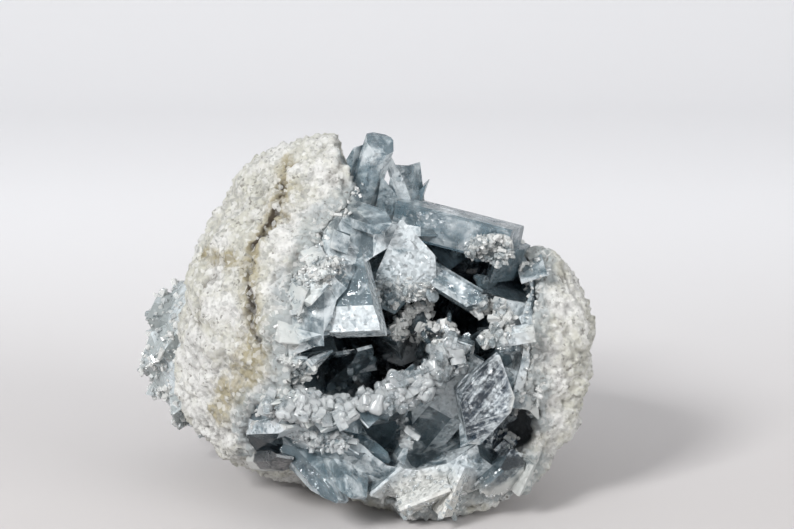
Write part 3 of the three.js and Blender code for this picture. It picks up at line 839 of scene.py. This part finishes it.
@dataclass
class Druse:
    """Small crystals that stand close together on the surface of a piece, as one mesh."""

    name: str
    host: bpy.types.Object
    patches: tuple[Patch, ...]
    finish: CelestiteFinish
    habits: tuple[Habit, ...] = (Habit.BLOCK, Habit.WEDGE)
    seed: int = 3
    sunk: float = 0.3
    near: Optional[BVHTree] = None
    near_mm: float = 2.0
    rounded: bool = False

    def spots(self, patch: Patch, rng: np.random.Generator,
              cover: BVHTree) -> tuple[np.ndarray, np.ndarray]:
        """Points on the host inside a patch, and which way the surface looks there.

        Args:
            patch: where.
            rng: the source of chance.
            cover: what may lie on the surface, which keeps crystals off what it hides.

        Returns:
            The points and the directions.
        """
        corners = Workshop.triangles(self.host.data)
        middle, half = np.array(patch.middle) * MM, np.array(patch.half) * MM
        low, high = corners.min(axis=1), corners.max(axis=1)
        corners = corners[((low < middle + half) & (high > middle - half)).all(axis=1)]
        cross = np.cross(corners[:, 1] - corners[:, 0], corners[:, 2] - corners[:, 0])
        area = np.linalg.norm(cross, axis=1)
        pick = rng.choice(len(area), size=patch.count * 8, p=area / area.sum())
        u, v = rng.random(len(pick)), rng.random(len(pick))
        flip = u + v > 1
        u[flip], v[flip] = 1 - u[flip], 1 - v[flip]
        a, b, c = corners[pick, 0], corners[pick, 1], corners[pick, 2]
        points = a + (b - a) * u[:, None] + (c - a) * v[:, None]
        ways = cross[pick] / np.maximum(area[pick], 1e-12)[:, None]
        keep = (((points - middle) / half) ** 2).sum(axis=1) < 1
        found = []
        for point, way in zip(points[keep], ways[keep]):
            if cover.ray_cast(Vector(point + way * 0.0002), Vector(way), 0.0025)[0] is not None:
                continue
            if self.near and self.near.find_nearest(Vector(point), self.near_mm * MM)[0] is None:
                continue
            found.append((point, way))
            if len(found) == patch.count:
                break
        points, ways = (np.array([f[i] for f in found]).reshape(-1, 3) for i in (0, 1))
        return points, ways

    def build(self, cover: BVHTree) -> bpy.types.Object:
        """Makes the crystals as one piece.

        Args:
            cover: what hides part of the surface.

        Returns:
            The piece.
        """
        rng = np.random.default_rng(self.seed)
        grains = [Grain.cut(habit) for habit in self.habits]
        points, faces, marks, total = [], [], [], 0
        for patch in self.patches:
            for spot, way in zip(*self.spots(patch, rng, cover)):
                grain = grains[rng.integers(len(grains))]
                up = way + patch.lean * rng.normal(size=3)
                up /= np.linalg.norm(up)
                side = np.cross(up, rng.normal(size=3))
                side /= np.linalg.norm(side)
                turn = np.stack([side, np.cross(up, side), up])
                size = (patch.small + (patch.large - patch.small) * rng.random() ** 2.2) * MM
                stretch = np.array([1, 1, 0.8 + 0.7 * rng.random()]) * size
                points.append((grain.points * stretch) @ turn + spot - up * self.sunk * size)
                faces.append(grain.faces + total)
                total += len(grain.points)
                marks.append((len(grain.faces), rng.random(), patch.milk_and_shade, up))
        places = kept_inside(np.concatenate(points), CAD_BOX)
        mesh = bpy.data.meshes.new(self.name)
        mesh.from_pydata(places.tolist(), [], np.concatenate(faces).tolist())
        piece = bpy.data.objects.new(self.name, mesh)
        bpy.context.scene.collection.objects.link(piece)
        owner = np.repeat(np.arange(len(marks)), [m[0] for m in marks])
        for place, mark in enumerate(("tone", "milk_and_shade", "along"), 1):
            Workshop.mark(piece.data, mark, np.array([m[place] for m in marks])[owner], "FACE")
        if self.rounded:
            Workshop.pick(piece)
            bpy.ops.object.shade_smooth_by_angle(angle=math.radians(50))
        Workshop.place(piece, None, "celestite", self.finish.material())
        return piece


@dataclass
class Studio:
    """The floor that curves up into a wall, the lights and the camera."""

    target: Point = (0, 0, 0.063)
    away: float = 0.5
    elevation: float = 12.0
    lens: float = 85.0
    key_power: float = 19.0
    fill_power: float = 6.0
    surround: float = 0.74

    def floor(self) -> None:
        """Lays the floor and bends it up behind the piece."""
        bpy.ops.object.select_all(action="DESELECT")
        bpy.ops.mesh.primitive_plane_add(size=6, location=(0, -2.2, 0))
        floor = bpy.context.active_object
        floor.name = "studio_floor"
        bpy.ops.object.transform_apply(location=True)
        bpy.ops.object.mode_set(mode="EDIT")
        bpy.context.tool_settings.mesh_select_mode = (False, True, False)
        for step in range(1, 10):
            bpy.ops.mesh.select_all(action="DESELECT")
            bpy.ops.object.mode_set(mode="OBJECT")
            ends = [[floor.data.vertices[i].co for i in edge.vertices] for edge in floor.data.edges]
            rows = [(a + b) / 2 for a, b in ends]
            across = [i for i, (a, b) in enumerate(ends) if abs((a - b).normalized().x) > 0.99]
            rear = max(across, key=lambda i: rows[i].y + rows[i].z)
            floor.data.edges[rear].select = True
            bpy.ops.object.mode_set(mode="EDIT")
            angle = math.radians(10 * step)
            length = 0.1 if step < 9 else 3.0
            bpy.ops.mesh.extrude_region_move(TRANSFORM_OT_translate={
                "value": (0, length * math.cos(angle), length * math.sin(angle))})
        bpy.ops.object.mode_set(mode="OBJECT")
        Workshop.pick(floor)
        bpy.ops.object.shade_smooth()
        floor.data.materials.append(FloorFinish().material())

    def lights(self) -> None:
        """Hangs a soft key light at the upper left, a weak fill at the right and a pale surround."""
        for name, place, size, power in (
            ("key", (-0.7, -0.95, 0.85), 0.36, self.key_power),
            ("fill", (0.95, -0.75, 0.45), 0.6, self.fill_power),
        ):
            data = bpy.data.lights.new(name, "AREA")
            data.size, data.energy = size, power
            lamp = bpy.data.objects.new(name, data)
            lamp.location = place
            aim = Vector((0, 0, 0.05)) - Vector(place)
            lamp.rotation_euler = aim.to_track_quat("-Z", "Y").to_euler()
            bpy.context.scene.collection.objects.link(lamp)
        world = bpy.data.worlds.new("surround")
        world.use_nodes = True
        tree = world.node_tree
        way = tree.nodes.new("ShaderNodeTexCoord").outputs["Generated"]
        split = tree.nodes.new("ShaderNodeSeparateXYZ")
        tree.links.new(way, split.inputs[0])
        height = tree.nodes.new("ShaderNodeMapRange")
        for bound, number in (("From Min", -0.6), ("From Max", 0.5), ("To Min", 0.8), ("To Max", 1.15)):
            height.inputs[bound].default_value = number
        tree.links.new(split.outputs["Y"], height.inputs["Value"])
        scaled = tree.nodes.new("ShaderNodeMath")
        scaled.operation = "MULTIPLY"
        scaled.inputs[1].default_value = self.surround
        tree.links.new(height.outputs["Result"], scaled.inputs[0])
        background = tree.nodes["Background"]
        background.inputs["Color"].default_value = (0.95, 0.955, 0.97, 1)
        tree.links.new(scaled.outputs[0], background.inputs["Strength"])
        bpy.context.scene.world = world

    def camera(self) -> None:
        """Sets the camera."""
        tilt = math.radians(self.elevation)
        data = bpy.data.cameras.new("view")
        data.lens, data.sensor_width = self.lens, 36
        data.clip_start, data.clip_end = 0.01, 50
        camera = bpy.data.objects.new("view", data)
        back = Vector((0, -math.cos(tilt), math.sin(tilt)))
        camera.location = Vector(self.target) + back * self.away
        camera.rotation_euler = (-back).to_track_quat("-Z", "Y").to_euler()
        bpy.context.scene.collection.objects.link(camera)
        bpy.context.scene.camera = camera
        bpy.context.scene.view_settings.view_transform = "Standard"


def main() -> None:
    """Builds the geode and its studio, and reports each piece."""
    logging.basicConfig(level=logging.INFO, format="%(message)s", stream=sys.stdout)
    studio = Studio()
    studio.camera()
    studio.lights()
    studio.floor()
    zones = (
        Zone((-13, -27, 81), (8, 8, 6), -0.5),  # the upper left of the opening
        Zone((-34, -29, 18), (10, 11, 6), -1.3),  # the dark blade at the lower left
        Zone((29, -22, 23), (9, 13, 8), -1.0),  # painted shade in the pocket at the lower right
        Zone((20, -20, 62), (12, 15, 8), -1.2),  # painted shade in the pocket under the lintel
        Zone((-3, -14, 87), (6, 8, 12), 0.45),  # the tall prism of the crown
        Zone((-5, -18, 66), (6, 10, 8), -0.9),  # painted shade in the gap between the wedge and the pyramid
        Zone((-19, -20, 42), (10, 11, 7), -0.8),  # painted shade in the pocket over the left end of the ridge
        Zone((-9, -26, 46), (5, 6, 4), 0.9),  # the milky crystal in that pocket
        Zone((-4, -24, 30), (8, 7, 6), -0.45),  # painted shade on the faces under the ridge
        Zone((-12, -34, 14), (8, 9, 7), 0.3),  # the prisms of the lower edge
        Zone((-30, -34, 26), (9, 9, 4), 0.6),  # over the dark blade
        Zone((-25, -38, 52), (9, 9, 12), 0.3),  # the frosted left rim
        Zone((-19, -38, 68), (8, 9, 6), 0.5),  # the top of the left rim
        Zone((-8, -38, 58), (7, 7, 7), 0.9),  # the foot of the wedge
        Zone((1, -26, 69), (11, 8, 14), 1.2),  # the pyramid
        Zone((10, -32, 10), (17, 14, 9), 1.3),  # the cream crystals of the lower edge
        Zone((28, -30, 13), (7, 9, 6), -0.9),  # the right end of the lower edge
        Zone((16, -26.5, 62), (6, 4, 5), 1.6),  # the pale prism across the pocket under the lintel
        Zone((22, -36, 39), (8, 8, 11), 0.8),  # the frosted crystal
        Zone((12, -16, 74), (18, 9, 6), -0.3),  # the lintel
        Zone((11, -22, 33), (14, 12, 13), 0.9),  # the pale body under the ridge
        Zone((31, -24, 48), (7, 12, 12), 0.7),  # the right rim
    )
    brushed = (((20, -34, 37), (9, 9, 13)), ((29, -20, 23), (8, 10, 7)))
    creamy = (((9, -32, 8), (17, 12, 9)),)
    # The crystal mass gets painted shade deep in the hollow.
    body = CelestiteFinish("celestite_mass", clear=0.7, depth=0.85, cell_mm=0.8, cell_tilt=0.9,
                           brushed=brushed, creamy=creamy)
    crust = CrystalMass("crystal_crust", "hollow_crystals", body, zones).build()
    rock = HostRock().build(tree_of(crust))
    pale = CelestiteFinish("celestite_pale", clear=0.5, blue=(0.55, 0.60, 0.60), taken_per_m=40.0,
                           cell_mm=1.0, cell_tilt=0.9)
    rear = CrystalMass("rear_crystals", "rear_mass", pale).build()
    hidden = tree_of(rock)
    beads = CelestiteFinish("celestite_beads", clear=0.85, cloudy=0.55,
                            pale=(0.84, 0.875, 0.885), blue=(0.66, 0.74, 0.775),
                            lines=0.05, frost=0.15, gloss=0.03,
                            taken=(0.75, 0.86, 0.9), taken_per_m=25.0)
    sugar = CelestiteFinish("celestite_sugar", clear=0.7, cloudy=0.2,
                            pale=(0.72, 0.73, 0.715), blue=(0.50, 0.57, 0.60),
                            lines=0.05, frost=0.3, gloss=0.05,
                            taken=(0.8, 0.88, 0.91), taken_per_m=10.0)
    druses = (
        Druse("druse_of_ridge", crust, (
            Patch((-22, -37, 34), (13, 9, 3.7), 300, 1.3, 4.4, milk_and_shade=0.6),
            Patch((-2, -34, 37.5), (16, 9, 3.7), 280, 1.3, 4.6, milk_and_shade=0.3),
            Patch((12, -29, 45), (8, 9, 4.5), 150, 1.3, 4.2, milk_and_shade=0.4),
        ), beads, (Habit.BLOCK, Habit.BEAD, Habit.WEDGE), seed=3, sunk=0.45, rounded=True),
        Druse("druse_of_pyramid", crust, (
            Patch((1, -25, 61), (9, 9, 4), 300, 0.6, 2.2, lean=0.7, milk_and_shade=0.3),
            Patch((24, -27, 72), (7, 8, 4), 420, 0.6, 2.3, milk_and_shade=0.4),
            Patch((24, -29, 54), (6, 9, 6), 300, 0.8, 3.4, milk_and_shade=0.2),
            Patch((7, -18, 51), (9, 9, 7), 560, 0.8, 3.0, milk_and_shade=0.9),
        ), sugar, sunk=0.5, seed=4),
        Druse("druse_of_left_rim", crust, (
            Patch((-20, -37, 69), (8, 9, 4), 260, 0.6, 2.0, milk_and_shade=0.4),
            Patch((-26, -37, 43), (7, 9, 4), 90, 0.8, 2.8, milk_and_shade=0.4),
        ), sugar, sunk=0.5, seed=5),
        Druse("druse_of_foot", crust, (
            Patch((7, -30, 25), (9, 9, 4), 110, 0.8, 3.0, lean=0.4, milk_and_shade=0.6),
            Patch((-20, -36, 25), (9, 8, 3), 110, 0.8, 3.0, milk_and_shade=0.6),
            Patch((12, -32, 10), (16, 9, 6), 130, 0.6, 1.8, milk_and_shade=0.5),
        ), beads, (Habit.WEDGE, Habit.BLOCK), sunk=0.5, seed=6, rounded=True),
        Druse("druse_of_depth", crust, (
            Patch((2, -8, 48), (28, 18, 26), 420, 1.6, 6.5, lean=0.4, milk_and_shade=-0.1),
        ), body, (Habit.BLADE, Habit.WEDGE), sunk=0.35, seed=9),
        Druse("druse_of_seam", crust, (
            Patch((2, -28, 50), (44, 24, 54), 1500, 0.6, 2.2, lean=0.6, milk_and_shade=0.5),
        ), sugar, seed=7, sunk=0.45, near=hidden, near_mm=2.0),
        Druse("druse_of_rear", rear, (
            Patch((-57, 20, 32), (20, 24, 26), 900, 0.6, 2.6, lean=0.4, milk_and_shade=0.6),
        ), sugar, seed=8, sunk=0.45),
    )
    for druse in druses:
        druse.build(hidden)


if __name__ == "__main__":
    main()
